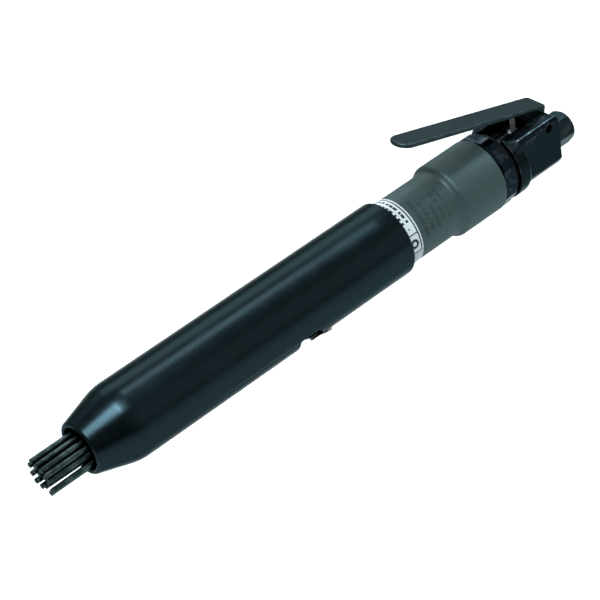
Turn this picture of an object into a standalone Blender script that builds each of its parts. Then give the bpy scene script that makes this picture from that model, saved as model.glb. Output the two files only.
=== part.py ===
"""Inline pneumatic needle scaler with a lever throttle.

Sizes are millimetres in the tool frame: X runs along the axis to the needle
tips, Z is up to the lever, Y is the left side, and Z 0 is the tool axis. Every
mesh is moved up by AXIS_Z and turned into metres when its object is made.
"""

import math

import bmesh
import bpy
from mathutils import Matrix, Vector

# Driving dimensions, mm
AXIS_Z = 22.25
TIP_X = 190.85
NOSE_X = 165.35
NOSE_R = 15.0
NOSE_BORE = 12.5
TUBE_R = 22.25
TUBE_REAR = -50.35
TUBE_BORE = 18.0
TUBE_SLIDE_BORE = 19.8
SHOULDER_X = 140.95

BARREL_FRONT = 27.15
BARREL_R = 19.5
BARREL_BIG_R = 22.15
BARREL_REAR = -121.65
SPIGOT_R = 17.7
PISTON_BORE = 12.05

COLLAR_REAR = -130.4
COLLAR_R = 22.0
COLLAR_FLAT = 21.04
RING_FRONT = -130.75
RING_REAR = -133.75
HEAD_FRONT = -134.05
FLANGE_R = 21.5
HEAD_R = 19.3
HEAD_REAR = -170.35
HEAD_TOP = 19.6
HEAD_SIDE = 17.7
HEAD_FAR = 16.4
SLOT_HALF = 7.6
SLOT_FLOOR = 13.0

INLET_REAR = -190.85
INLET_Z = -4.9
INLET_FLATS = 17.5

PIVOT = (-162.35, 0.0, 15.2)
VALVE_X = -151.65
LEVER_REAR = (-172.4, 21.95)
LEVER_TIP = (-65.6, 54.75)
LEVER_HALF = 7.7
LEVER_SHEET = 1.6
LEVER_RIM = 2.6

NEEDLE_R = 1.5
HEAD_X = 33.6
HOLDER_X = 36.6
HOLDER_FRONT = 46.0
BUNDLE_ROLL = math.radians(43.0)

LATCH_ANGLE = math.radians(-46.5)
LATCH_PIN = (11.6, 22.1)
FLAT_DEPTH = 19.45

SEGMENTS = 48

# Needle places across the bundle frame: hole in the holder, then tip
NEEDLES = (
    ((9.2, 0.0), (10.0, -1.4), 0.3),
    ((6.9, 4.0), (9.5, 2.4), 0.0),
    ((4.6, 8.0), (4.6, 5.3), 0.6),
    ((0.0, 8.0), (1.6, 7.5), 0.2),
    ((-4.6, 8.0), (-1.9, 6.7), 0.0),
    ((-6.9, 4.0), (-5.3, 2.4), 0.5),
    ((-2.3, 4.0), (-1.9, 2.9), 0.8),
    ((2.3, 4.0), (2.0, 3.4), 0.4),
    ((-9.2, 0.0), (-8.6, 0.8), 0.2),
    ((-4.6, 0.0), (-4.9, -1.0), 0.9),
    ((0.0, 0.0), (-1.0, -0.7), 0.5),
    ((4.6, 0.0), (5.4, 1.2), 1.0),
    ((-6.9, -4.0), (-7.6, -3.6), 0.1),
    ((-2.3, -4.0), (-3.6, -4.6), 0.7),
    ((2.3, -4.0), (0.9, -4.4), 0.2),
    ((6.9, -4.0), (5.6, -2.9), 0.6),
    ((-4.6, -8.0), (-3.4, -8.3), 0.4),
    ((0.0, -8.0), (0.8, -8.2), 0.0),
    ((4.6, -8.0), (4.6, -6.6), 0.3),
)

STEEL = (0.33, 0.36, 0.36)
BRIGHT = (0.62, 0.63, 0.62)
BLACK = (0.016, 0.022, 0.026)
BLUED = (0.016, 0.030, 0.050)
RUBBER = (0.012, 0.012, 0.013)
WHITE = (0.72, 0.74, 0.74)
NEEDLE = (0.040, 0.055, 0.055)


def clear_scene():
    for obj in list(bpy.data.objects):
        bpy.data.objects.remove(obj, do_unlink=True)


def material(name, colour, rough, metal):
    mat = bpy.data.materials.new(name)
    mat.use_nodes = True
    node = mat.node_tree.nodes["Principled BSDF"]
    node.inputs["Base Color"].default_value = (*colour, 1.0)
    node.inputs["Roughness"].default_value = rough
    node.inputs["Metallic"].default_value = metal
    return mat


def build(name, verts, faces, look=None, pivot=(0.0, 0.0, 0.0), smooth=True):
    """One object from millimetre vertices, with its origin at pivot."""
    origin = Vector(pivot)
    mesh = bpy.data.meshes.new(name)
    mesh.from_pydata([(Vector(v) - origin) * 0.001 for v in verts], [], faces)
    bm = bmesh.new()
    bm.from_mesh(mesh)
    bmesh.ops.recalc_face_normals(bm, faces=bm.faces)
    bm.to_mesh(mesh)
    bm.free()
    obj = bpy.data.objects.new(name, mesh)
    obj.location = (origin + Vector((0.0, 0.0, AXIS_Z))) * 0.001
    bpy.context.scene.collection.objects.link(obj)
    if look:
        mesh.materials.append(material(name + "_finish", *look))
    if smooth:
        mesh.polygons.foreach_set("use_smooth", [True] * len(mesh.polygons))
        mesh.set_sharp_from_angle(angle=math.radians(32))
    return obj


def cutter(name, verts, faces):
    obj = build(name, verts, faces, smooth=False)
    obj.hide_render = True
    obj.display_type = "WIRE"
    return obj


def combine(target, tool, operation="DIFFERENCE"):
    mod = target.modifiers.new(tool.name, "BOOLEAN")
    mod.operation = operation
    mod.solver = "EXACT"
    mod.object = tool


def rounded(points, steps=4):
    """Profile points (x, r, fillet) turned into (x, r) with filleted corners."""
    out = []
    for i, point in enumerate(points):
        here = Vector(point[:2])
        size = point[2] if len(point) > 2 else 0.0
        if not size:
            out.append(tuple(here))
            continue
        before = Vector(points[i - 1][:2]) - here
        after = Vector(points[(i + 1) % len(points)][:2]) - here
        half = before.angle(after) / 2
        reach = size / math.tan(half)
        start = here + before.normalized() * reach
        middle = (before.normalized() + after.normalized()).normalized()
        centre = here + middle * (size / math.sin(half))
        a = start - centre
        b = here + after.normalized() * reach - centre
        turn = a.angle_signed(b)
        for k in range(steps + 1):
            out.append(tuple(centre + Matrix.Rotation(-turn * k / steps, 2) @ a))
    return out


def lathe(profile, segments=SEGMENTS, centre=(0.0, 0.0), ring=True):
    """Vertices and faces of a profile turned round the X axis."""
    verts = []
    rows = []
    for x, r in profile:
        if r < 1e-6:
            rows.append([len(verts)])
            verts.append((x, centre[0], centre[1]))
            continue
        rows.append(list(range(len(verts), len(verts) + segments)))
        for k in range(segments):
            a = 2 * math.pi * k / segments
            y = centre[0] + r * math.cos(a)
            verts.append((x, y, centre[1] + r * math.sin(a)))
    faces = []
    last = len(rows) if ring else len(rows) - 1
    for i in range(last):
        a = rows[i]
        b = rows[(i + 1) % len(rows)]
        for k in range(segments):
            n = (k + 1) % segments
            if len(a) == 1 and len(b) == 1:
                continue
            if len(a) == 1:
                faces.append((a[0], b[k], b[n]))
            elif len(b) == 1:
                faces.append((a[k], b[0], a[n]))
            else:
                faces.append((a[k], b[k], b[n], a[n]))
    return verts, faces


def prism(outline, low, high, place):
    """Closed outline (u, v) drawn from low to high, put in space by place."""
    count = len(outline)
    verts = [place(u, v, low) for u, v in outline]
    verts += [place(u, v, high) for u, v in outline]
    faces = [tuple(range(count)), tuple(range(2 * count - 1, count - 1, -1))]
    for k in range(count):
        n = (k + 1) % count
        faces.append((k, n, count + n, count + k))
    return verts, faces


def turned(shape, move):
    verts, faces = shape
    return [move(Vector(v)) for v in verts], faces


def upright(point, x=VALVE_X):
    """Takes a shape made on the X axis and stands it along Z at x."""
    return Vector((x - point.z, point.y, point.x))


def box(x0, x1, y0, y1, z0, z1):
    outline = ((x0, z0), (x1, z0), (x1, z1), (x0, z1))
    return prism(outline, y0, y1, lambda u, v, w: (u, w, v))


def coil(start, end, mean_r, wire, turns, per_turn=18, sides=6):
    """A compression spring along X with its ends flattened towards the seats."""
    total = int(turns * per_turn)
    verts = []
    for i in range(total + 1):
        t = i / total
        ease = 0.5 - 0.5 * math.cos(math.pi * min(1.0, max(0.0, t)))
        x = start + (end - start) * (0.55 * t + 0.45 * ease)
        a = 2 * math.pi * turns * t
        out = Vector((0.0, math.cos(a), math.sin(a)))
        for k in range(sides):
            b = 2 * math.pi * k / sides
            point = out * (mean_r + wire * math.cos(b))
            verts.append((x + wire * math.sin(b), point.y, point.z))
    faces = [tuple(range(sides))]
    for i in range(total):
        for k in range(sides):
            n = (k + 1) % sides
            row = i * sides
            faces.append((row + k, row + n, row + sides + n, row + sides + k))
    faces.append(tuple(range(total * sides, (total + 1) * sides)))
    return verts, faces


def circle(u, v, r, count, start=0.0):
    out = []
    for k in range(count):
        a = start + 2 * math.pi * k / count
        out.append((u + r * math.cos(a), v + r * math.sin(a)))
    return out


def arc(u, v, r, low, high, steps):
    out = []
    for k in range(steps + 1):
        a = math.radians(low + (high - low) * k / steps)
        out.append((u + r * math.cos(a), v + r * math.sin(a)))
    return out


def latch_place(x, radial, across):
    """The latch frame: along the tool, out from the axis, and round it."""
    c, s = math.cos(LATCH_ANGLE), math.sin(LATCH_ANGLE)
    return (x, radial * c - across * s, radial * s + across * c)


def bundle_place(x, t, c):
    """The bundle frame of the needles, rolled about the tool axis."""
    cr, sr = math.cos(BUNDLE_ROLL), math.sin(BUNDLE_ROLL)
    return (x, c * cr + t * sr, c * sr - t * cr)


def needle_tube():
    profile = rounded((
        (NOSE_X, NOSE_BORE + 0.6, 0.5),
        (NOSE_X, NOSE_R, 1.1),
        (SHOULDER_X, TUBE_R, 30.0),
        (TUBE_REAR, TUBE_R, 1.7),
        (TUBE_REAR, TUBE_SLIDE_BORE + 0.3),
        (TUBE_REAR + 0.5, TUBE_SLIDE_BORE),
        (12.0, TUBE_SLIDE_BORE),
        (12.0, TUBE_BORE),
        (133.5, TUBE_BORE),
        (133.5, 14.6),
        (140.0, NOSE_BORE),
        (NOSE_X - 0.6, NOSE_BORE),
    ))
    tube = build("needle_tube", *lathe(profile, 64), look=(BLACK, 0.32, 0.6))
    side = 14.0
    plan = [(33.9, -side), (33.9, side), (20.0, side), (20.0, 12.4)]
    plan += [(28.5 + u, v) for u, v in arc(0, 0, 12.5, 97, 263, 14)]
    plan += [(20.0, -12.4), (20.0, -side)]
    plan = [p for i, p in enumerate(plan) if i not in (2, 3, len(plan) - 2, len(plan) - 1)]
    tilt = math.tan(math.radians(2.6))

    def on_flat(u, v, w):
        floor = FLAT_DEPTH + (u - 28.0) * tilt if w < 1 else 30.0
        return latch_place(u, floor, v)

    combine(tube, cutter("cut_latch_flat", *prism(plan, 0, 2, on_flat)))
    window = ((9.9, -3.7), (13.6, -3.7), (13.6, -1.8), (19.4, -1.8))
    window += ((19.4, 1.8), (13.6, 1.8), (13.6, 3.7), (9.9, 3.7))
    slot = prism(window, 20.4, 26.0, lambda u, v, w: latch_place(u, w, v))
    combine(tube, cutter("cut_latch_pocket", *slot))
    hole = ((12.9, -1.8), (19.4, -1.8), (19.4, 1.8), (12.9, 1.8))
    slot = prism(hole, 14.0, 21.0, lambda u, v, w: latch_place(u, w, v))
    combine(tube, cutter("cut_latch_window", *slot))
    seat = prism(circle(*LATCH_PIN, 0.95, 12), -4.6, 4.6, latch_place)
    combine(tube, cutter("cut_pin_cradle", *seat))
    return tube


def tube_latch():
    px, pr = LATCH_PIN
    shape = arc(px, pr, 1.25, 60, 270, 8)
    shape += [(14.2, 20.55), (14.2, 17.25), (17.4, 17.25), (17.4, 20.3)]
    shape += [(22.9, 20.3), (22.9, 22.0), (22.6, 22.3), (17.0, 22.3), (14.6, 22.75)]
    pivot = latch_place(px, pr, 0.0)
    latch = build(
        "tube_latch", *prism(shape, -1.5, 1.5, latch_place),
        look=(RUBBER, 0.45, 0.2), pivot=pivot, smooth=False,
    )
    eye = prism(circle(px, pr, 0.85, 12), -2.0, 2.0, latch_place)
    combine(latch, cutter("cut_latch_eye", *eye))
    pin = prism(circle(px, pr, 0.8, 12), -4.3, 4.3, latch_place)
    build("latch_pin", *pin, look=(BRIGHT, 0.25, 1.0))
    wire = coil(1.85, 3.3, 1.2, 0.22, 3.5, 12, 5)
    spring = turned(wire, lambda v: latch_place(px + v.y, pr + v.z, v.x))
    build("latch_spring", *spring, look=(BRIGHT, 0.3, 1.0))


def needles():
    disc = lathe(((HOLDER_X, 0), (HOLDER_X, 17.3), (HOLDER_FRONT, 17.3), (HOLDER_FRONT, 0)), ring=False)
    holder = build("needle_holder", *disc, look=(STEEL, 0.4, 1.0))
    for i, (root, tip, short) in enumerate(NEEDLES):
        hole = lathe(((30.0, 0), (30.0, 1.95), (50.0, 1.95), (50.0, 0)), 10, ring=False)
        place = bundle_place(0.0, *root)
        move = turned(hole, lambda v, p=place: (v.x, v.y + p[1], v.z + p[2]))
        combine(holder, cutter(f"cut_needle_hole_{i + 1:02d}", *move))
        needle(i + 1, root, tip, TIP_X - short)


def needle(number, root, tip, end):
    """A headed rod leaning from its hole in the holder to its tip."""
    a = Vector(bundle_place(HOLDER_X + 4.7, *root))
    b = Vector(bundle_place(end, *tip))
    lean = (b - a) / (b.x - a.x)
    profile = (
        (HEAD_X, 0), (HEAD_X, 2.05), (HOLDER_X - 0.35, 2.05),
        (HOLDER_X - 0.35, NEEDLE_R), (end - 0.35, NEEDLE_R), (end, 1.15), (end, 0),
    )

    def move(v):
        centre = a + lean * (v.x - a.x)
        return (v.x, centre.y + v.y, centre.z + v.z)

    rod = turned(lathe(profile, 12, ring=False), move)
    build(f"needle_{number:02d}", *rod, look=(NEEDLE, 0.35, 0.8))


def front_internals():
    spring = coil(HOLDER_FRONT + 1.7, 131.9, 15.95, 1.25, 9.0)
    build("needle_spring", *spring, look=(BRIGHT, 0.3, 1.0))
    profile = ((-24.0, 0), (-24.0, 7.6), (-23.0, 8.7), (27.6, 8.7), (27.6, 15.0))
    profile += ((33.1, 15.0), (33.1, 0))
    build("anvil", *lathe(profile, ring=False), look=(STEEL, 0.3, 1.0))
    profile = ((22.3, 9.1), (27.0, 9.1), (27.0, 13.4), (22.3, 13.4))
    build("anvil_buffer", *lathe(profile), look=(RUBBER, 0.8, 0.0))
    profile = ((-18.0, 9.0), (21.6, 9.0), (21.6, 11.75), (-18.0, 11.75))
    build("anvil_bush", *lathe(profile), look=(BRIGHT, 0.3, 1.0))


def barrel():
    profile = rounded((
        (BARREL_FRONT, 13.8),
        (BARREL_FRONT, SPIGOT_R - 0.6),
        (BARREL_FRONT - 0.6, SPIGOT_R),
        (18.6, SPIGOT_R),
        (18.6, 16.8),
        (0.9, 16.8),
        (0.9, SPIGOT_R),
        (-1.0, SPIGOT_R),
        (-1.0, BARREL_R - 0.5),
        (-1.5, BARREL_R),
        (-28.2, BARREL_R),
        (-28.2, 18.1),
        (-31.6, 18.1),
        (-31.6, BARREL_R),
        (-88.6, BARREL_R, 3.2),
        (-91.2, BARREL_BIG_R, 3.2),
        (BARREL_REAR, BARREL_BIG_R, 0.5),
        (BARREL_REAR, 16.3),
        (-94.0, 16.3),
        (-94.0, PISTON_BORE),
        (22.0, PISTON_BORE),
        (22.0, 13.8),
    ), 3)
    build("barrel", *lathe(profile), look=((0.145, 0.175, 0.185), 0.42, 0.55))
    profile = ((-48.35, 19.53), (-48.35, 19.66), (-58.6, 19.66), (-58.6, 19.53))
    build("label_band", *lathe(profile), look=(WHITE, 0.4, 0.0))
    ring = circle(-29.9, 19.0, 0.72, 8)
    build("barrel_oring", *lathe(ring), look=(RUBBER, 0.6, 0.0))
    profile = rounded(((-93.2, 0), (-93.2, 11.8, 0.8), (-53.2, 11.8, 0.8), (-53.2, 0)), 2)
    build("piston", *lathe(profile, ring=False), look=(BRIGHT, 0.2, 1.0))


def valve_chest():
    seat = lathe(((-94.3, 3.0), (-94.3, 16.0), (-99.5, 16.0), (-99.5, 3.0)), 36)
    plate = build("valve_seat", *seat, look=(STEEL, 0.35, 1.0))
    profile = ((-103.3, 0), (-103.3, 9.5), (-102.1, 9.5), (-102.1, 0))
    build("valve_disc", *lathe(profile, 36, ring=False), look=(BRIGHT, 0.25, 1.0))
    profile = ((-99.8, 10.0), (-99.8, 16.0), (-112.0, 16.0), (-112.0, 2.5), (-103.8, 2.5), (-103.8, 10.0))
    chest = build("valve_box", *lathe(profile, 36), look=(STEEL, 0.35, 1.0))
    profile = ((-95.2, 0), (-95.2, 1.2), (-110.5, 1.2), (-110.5, 0))
    dowel = lathe(profile, 12, (0.0, -13.0), ring=False)
    build("valve_dowel", *dowel, look=(BRIGHT, 0.25, 1.0))
    profile = ((-90.0, 0), (-90.0, 1.4), (-110.8, 1.4), (-110.8, 0))
    bore = cutter("cut_dowel_hole", *lathe(profile, 12, (0.0, -13.0), ring=False))
    combine(plate, bore)
    combine(chest, bore)


def lock_collar():
    front = BARREL_REAR - 0.3
    profile = rounded((
        (front, 16.5),
        (front, COLLAR_FLAT - 0.7),
        (front - 1.6, COLLAR_R),
        (COLLAR_REAR + 0.5, COLLAR_R),
        (COLLAR_REAR, COLLAR_R - 0.5),
        (COLLAR_REAR, 16.5),
    ))
    collar = build("lock_collar", *lathe(profile, 72), look=(BLUED, 0.34, 0.6))
    for k in range(8):
        a = math.radians(8.0 + 45.0 * k)
        block = box(front - 14.0, front + 4.0, COLLAR_FLAT, 26.0, -12.0, 12.0)
        turn = Matrix.Rotation(a, 3, "X")
        combine(collar, cutter(f"cut_flat_{k + 1}", *turned(block, lambda v, m=turn: m @ v)))
    profile = ((RING_FRONT, 16.5), (RING_FRONT, 19.5), (RING_REAR, 19.5), (RING_REAR, 16.5))
    build("gasket_ring", *lathe(profile), look=(RUBBER, 0.7, 0.0))


def head_outline():
    """Round below, square above, with rounded top corners and the far side a little thinner."""
    near = math.degrees(math.acos(HEAD_SIDE / HEAD_R))
    far = math.degrees(math.acos(HEAD_FAR / HEAD_R))
    corner = 3.0
    out = arc(0, 0, HEAD_R, 180 + far, 360 - near, 20)
    out += arc(HEAD_SIDE - corner, HEAD_TOP - corner, corner, 0, 90, 5)
    out += arc(corner - HEAD_FAR, HEAD_TOP - corner, corner, 90, 180, 5)
    return out


def backhead():
    body = prism(head_outline(), HEAD_REAR, HEAD_FRONT - 0.6, lambda u, v, w: (w, u, v))
    head = build("backhead", *body, look=(BLUED, 0.34, 0.6))
    head.data.set_sharp_from_angle(angle=math.radians(32))
    profile = ((-180.0, 0), (-180.0, 27.0), (-141.5, 27.0), (HEAD_FRONT - 0.5, 21.45), (HEAD_FRONT - 0.5, 0))
    combine(head, cutter("keep_turned_front", *lathe(profile, ring=False)), "INTERSECT")
    profile = rounded((
        (-112.4, 3.5),
        (-112.4, 15.3),
        (-113.0, 15.9),
        (-115.6, 15.9),
        (-115.6, 14.2),
        (-118.4, 14.2),
        (-118.4, 15.9),
        (-121.9, 15.9),
        (-121.9, 16.2),
        (HEAD_FRONT, 16.2),
        (HEAD_FRONT, FLANGE_R, 0.6),
        (-143.15, FLANGE_R, 2.3),
        (-143.15, 12.0),
        (-140.0, 3.5),
    ), 3)
    combine(head, cutter("add_flange", *lathe(profile)), "UNION")
    combine(head, cutter("cut_slot", *box(-200, HEAD_FRONT + 0.1, -SLOT_HALF, SLOT_HALF, SLOT_FLOOR, 30)))
    combine(head, cutter("cut_ear_pocket", *box(-200, -157.2, -SLOT_HALF, SLOT_HALF, 9.8, 15)))
    profile = ((-21.0, 0), (-21.0, 6.5), (1.0, 6.5), (1.0, 3.5), (14.0, 3.5), (14.0, 0))
    shape = turned(lathe(profile, 24, ring=False), upright)
    combine(head, cutter("cut_valve_bore", *shape))
    profile = ((-200.0, 0), (-200.0, 7.9), (-160.2, 7.9), (-160.2, 4.4), (-154.0, 4.4), (-154.0, 0))
    shape = lathe(profile, 24, (0.0, INLET_Z), ring=False)
    combine(head, cutter("cut_inlet_bore", *shape))
    passage = lathe(((-151.0, 0), (-151.0, 2.4), (-136.0, 2.4), (-136.0, 0)), 12, (0.0, 4.6), ring=False)
    combine(head, cutter("cut_air_passage", *passage))
    pin = prism(circle(PIVOT[0], PIVOT[2], 2.6, 20), -30, 30, lambda u, v, w: (u, w, v))
    combine(head, cutter("cut_pivot_hole", *pin))
    crown = arc(HEAD_REAR + 3.0, HEAD_TOP - 3.0, 3.0, 180, 90, 5) + [(-160.0, 30.0), (-180.0, 30.0), (-180.0, 16.2)]
    combine(head, cutter("cut_rear_corner", *prism(crown, -30, 30, lambda u, v, w: (u, w, v))))
    plate = [(-180.0, -30.0), (-151.85, -30.0)] + arc(-155.85, 14.0, 4.0, 0, 90, 5) + [(-180.0, 18.0)]
    for name, low, high in (("cut_left_flat", HEAD_SIDE - 0.3, 30.0), ("cut_right_flat", -30.0, 0.3 - HEAD_FAR)):
        combine(head, cutter(name, *prism(plate, low, high, lambda u, v, w: (u, w, v))))
    ring = circle(-117.0, 15.2, 0.85, 8)
    build("spigot_oring", *lathe(ring, 36), look=(RUBBER, 0.6, 0.0))
    return head


def inlet():
    side = INLET_FLATS / math.sqrt(3)
    profile = (
        (-170.7, 6.0), (-170.7, side + 1.0), (INLET_REAR, side + 1.0), (INLET_REAR, 6.6), (INLET_REAR + 0.8, 6.0),
    )
    body = build("inlet_bushing", *lathe(profile, 48, (0.0, INLET_Z)), look=(BLACK, 0.4, 0.6))
    hexagon = circle(0.0, INLET_Z, side, 6)
    shape = prism(hexagon, -195.0, -165.0, lambda u, v, w: (w, u, v))
    combine(body, cutter("keep_hexagon", *shape), "INTERSECT")
    cone = ((-160.0, 0), (-160.0, 30.0), (-188.2, 10.4), (INLET_REAR - 0.2, 8.6), (INLET_REAR - 0.2, 0))
    shape = lathe(cone, 48, (0.0, INLET_Z), ring=False)
    combine(body, cutter("keep_chamfer", *shape), "INTERSECT")
    stub = ((-171.5, 6.0), (-171.5, 7.6), (-160.5, 7.6), (-160.5, 6.0))
    combine(body, cutter("add_stub", *lathe(stub, 48, (0.0, INLET_Z))), "UNION")
    profile = ((-172.0, 5.7), (-161.0, 5.7), (-161.0, 0), (-161.6, 0), (-161.6, 5.1), (-172.0, 5.1))
    cup = lathe(profile, 24, (0.0, INLET_Z))
    build("inlet_strainer", *cup, look=(STEEL, 0.5, 1.0))


def throttle_valve():
    profile = rounded((
        (-2.9, 0), (-2.9, 4.6), (-1.0, 4.6), (0.7, 3.9), (0.7, 1.5), (24.9, 1.5, 0.9), (26.0, 0),
    ), 3)
    pivot = (VALVE_X, 0.0, 26.0)
    shape = turned(lathe(profile, 20, ring=False), upright)
    build("throttle_valve", *shape, look=(BRIGHT, 0.28, 1.0), pivot=pivot)
    profile = ((8.4, 1.65), (8.4, 3.35), (13.2, 3.35), (13.2, 1.65))
    shape = turned(lathe(profile, 20), upright)
    build("throttle_bush", *shape, look=(STEEL, 0.35, 1.0))
    shape = turned(coil(-13.2, -3.7, 3.6, 0.5, 5.0, 14, 5), upright)
    build("throttle_spring", *shape, look=(BRIGHT, 0.3, 1.0))
    profile = ((-14.0, 0), (-14.0, 5.2), (-14.6, 6.2), (-15.2, 6.2), (-15.2, 5.1))
    profile += ((-16.7, 5.1), (-16.7, 6.2), (-17.8, 6.2), (-17.8, 0))
    shape = turned(lathe(profile, 24, ring=False), upright)
    cap = build("valve_cap", *shape, look=(BLACK, 0.4, 0.6))
    slot = box(VALVE_X - 9, VALVE_X + 9, -0.7, 0.7, -20.0, -17.0)
    combine(cap, cutter("cut_driver_slot", *slot))
    shape = turned(lathe(circle(-15.95, 5.75, 0.58, 8), 24), upright)
    build("cap_oring", *shape, look=(RUBBER, 0.6, 0.0))


def lever():
    """A folded channel: a tongue on top, two flanges and two pivot ears."""
    run = Vector(LEVER_TIP) - Vector(LEVER_REAR)
    length = run.length
    along = run.normalized()
    up = Vector((-along.y, along.x))

    def place(a, h, w):
        point = Vector(LEVER_REAR) + along * a + up * h
        return (point.x, w, point.y)

    rim = LEVER_RIM
    side = [(0.0, -rim), (0.0, -1.2), (0.4, -0.4), (1.2, 0.0), (length, 0.0), (length, -rim)]
    body = prism(side, -9.0, 9.0, place)
    lever_obj = build("throttle_lever", *body, look=(BLACK, 0.5, 0.2), pivot=PIVOT)
    plan = [(-2.0, -LEVER_HALF)] + arc(length - 7.6, 0.0, 7.6, -80, 80, 14) + [(-2.0, LEVER_HALF)]
    shape = prism(plan, -20.0, 5.0, lambda u, v, w: place(u, w, v))
    combine(lever_obj, cutter("keep_tongue", *shape), "INTERSECT")
    inner = LEVER_HALF - 2.0
    plan = [(2.0, -inner)] + arc(length - 7.6, 0.0, 5.6, -80, 80, 12) + [(2.0, inner)]
    shape = prism(plan, -20.0, -LEVER_SHEET, lambda u, v, w: place(u, w, v))
    combine(lever_obj, cutter("cut_underside", *shape))
    offset = Vector((PIVOT[0], PIVOT[2])) - Vector(LEVER_REAR)
    pa, ph = offset.dot(along), offset.dot(up)
    ears = [(2.2, -1.0), (19.0, -1.0), (19.0, -2.2)] + arc(pa, ph, 4.4, 28, -180, 12)
    for name, low, high in (("add_left_ear", 4.75, 6.75), ("add_right_ear", -6.75, -4.75)):
        combine(lever_obj, cutter(name, *prism(ears, low, high, place)), "UNION")
    eye = prism(circle(PIVOT[0], PIVOT[2], 2.55, 20), -12, 12, lambda u, v, w: (u, w, v))
    combine(lever_obj, cutter("cut_lever_eye", *eye))
    pin = prism(circle(PIVOT[0], PIVOT[2], 2.4, 20), -15.6, 15.6, lambda u, v, w: (u, w, v))
    build("lever_pivot_pin", *pin, look=(STEEL, 0.4, 1.0))


def main():
    clear_scene()
    needle_tube()
    tube_latch()
    needles()
    front_internals()
    barrel()
    valve_chest()
    lock_collar()
    backhead()
    inlet()
    throttle_valve()
    lever()


main()
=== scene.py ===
"""Inline needle scaler: the visible pieces, their finishes, the light and the camera."""

import math

import bmesh
import bpy
from mathutils import Matrix, Vector


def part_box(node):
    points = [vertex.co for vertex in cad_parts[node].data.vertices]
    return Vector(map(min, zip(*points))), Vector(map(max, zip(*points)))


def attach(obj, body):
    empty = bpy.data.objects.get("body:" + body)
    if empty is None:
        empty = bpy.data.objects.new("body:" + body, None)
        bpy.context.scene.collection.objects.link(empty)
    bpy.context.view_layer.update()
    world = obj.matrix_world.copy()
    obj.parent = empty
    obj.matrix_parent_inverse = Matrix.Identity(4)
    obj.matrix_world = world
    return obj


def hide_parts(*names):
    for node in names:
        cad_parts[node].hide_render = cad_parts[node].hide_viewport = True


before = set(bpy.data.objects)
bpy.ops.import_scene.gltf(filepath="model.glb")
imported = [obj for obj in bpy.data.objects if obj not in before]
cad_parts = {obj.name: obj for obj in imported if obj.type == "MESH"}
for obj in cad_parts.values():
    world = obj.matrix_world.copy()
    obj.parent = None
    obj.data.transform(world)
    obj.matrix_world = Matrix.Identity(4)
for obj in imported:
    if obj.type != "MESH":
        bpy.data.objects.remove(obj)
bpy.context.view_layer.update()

MM = 0.001


def ends_of(node):
    """Where a node starts and ends along the tool, rear first, in millimetres."""
    low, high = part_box(node)
    return low.x / MM, high.x / MM


tube_lo, tube_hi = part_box("needle_tube")
pin_lo, pin_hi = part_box("lever_pivot_pin")
plunger_lo, plunger_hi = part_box("throttle_valve")

AXIS = Vector((0.0, 0.0, (tube_lo.z + tube_hi.z) / 2))
PIVOT = (pin_lo + pin_hi) / 2

# Sizes in millimetres. Places along the tool count from its middle, heights from its axis.
TAIL, NOSE = ends_of("needle_tube")
TUBE_R = (tube_hi.z - tube_lo.z) / 2 / MM
TUBE_BORE = 18.0
REAR_BORE = 19.8
LATCH = math.radians(-46.5)
LATCH_PIN = (11.6, 22.1)
LATCH_FLAT = 19.45
FLAT_START = 28.5
FLAT_SLOPE = 0.0454
NEEDLE_R = 1.5
NEEDLE_HEAD_R = 2.05
NEEDLE_HEAD = 2.6
BARREL_REAR = ends_of("barrel")[0]
BARREL_R = 19.5
BARREL_REAR_R = 22.15
BARREL_BORE = 12.05
SPIGOT_R = 17.7
LABEL_R = 19.65
COLLAR_R = 22.0
COLLAR_FLAT = 21.04
HEAD_FRONT = -134.05
HEAD_NEAR = 17.7
HEAD_FAR = 16.4
HEAD_TOP = 19.6
HEAD_R = 21.5
SLOT_HALF = 7.6
INLET_DROP = 4.9
HEX_CORNER = 17.5 / math.sqrt(3)
THREAD_PITCH = 1.34
LEVER_HEEL = Vector((-172.4, 0, 21.95))
LEVER_TIP = Vector((-65.6, 0, 54.75))
LEVER_HALF = 7.7
LEVER_RIM = 2.6
LEVER_SHEET = 1.6
LEVER_WALL = 2.0
EAR_R = 4.4
FLOOR_DROP = 160.0

# Degrees, and millimetres from the tool's middle, that place the camera.
VIEW_TILT, VIEW_ROLL, VIEW_LEAN = 27.5, 43.0, 34.5
VIEW_AHEAD, VIEW_ACROSS, VIEW_AWAY = 15.15, 0.85, 1219.0


# ---------------------------------------------------------------- camera


def camera():
    """Looks down on the tool from its needle end and its left side."""
    tilt, roll, lean = (math.radians(a) for a in (VIEW_TILT, VIEW_ROLL, VIEW_LEAN))
    side = Vector((0.0, math.cos(roll), math.sin(roll)))
    across = Vector((0.0, math.sin(roll), -math.cos(roll)))
    out = Vector((math.sin(tilt), 0, 0)) + side * math.cos(tilt)
    along = Vector((-math.cos(tilt), 0, 0)) + side * math.sin(tilt)
    right = along * math.cos(lean) + across * math.sin(lean)
    up = along * math.sin(lean) - across * math.cos(lean)
    turn = Matrix((right, up, out)).transposed()
    data = bpy.data.cameras.new("camera")
    data.lens = 138.0
    data.sensor_width = 36.0
    data.clip_start = 0.05
    cam = bpy.data.objects.new("camera", data)
    cam.matrix_world = turn.to_4x4()
    target = AXIS + Vector((VIEW_AHEAD * MM, 0, 0)) + across * VIEW_ACROSS * MM
    cam.location = target + out * VIEW_AWAY * MM
    bpy.context.scene.collection.objects.link(cam)
    bpy.context.scene.camera = cam


camera()


# ---------------------------------------------------------------- modelling by hand


def clear():
    if bpy.context.object and bpy.context.object.mode != "OBJECT":
        bpy.ops.object.mode_set(mode="OBJECT")
    bpy.ops.object.select_all(action="DESELECT")


def near(a, b):
    return (a - b).length < 2e-5


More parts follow.
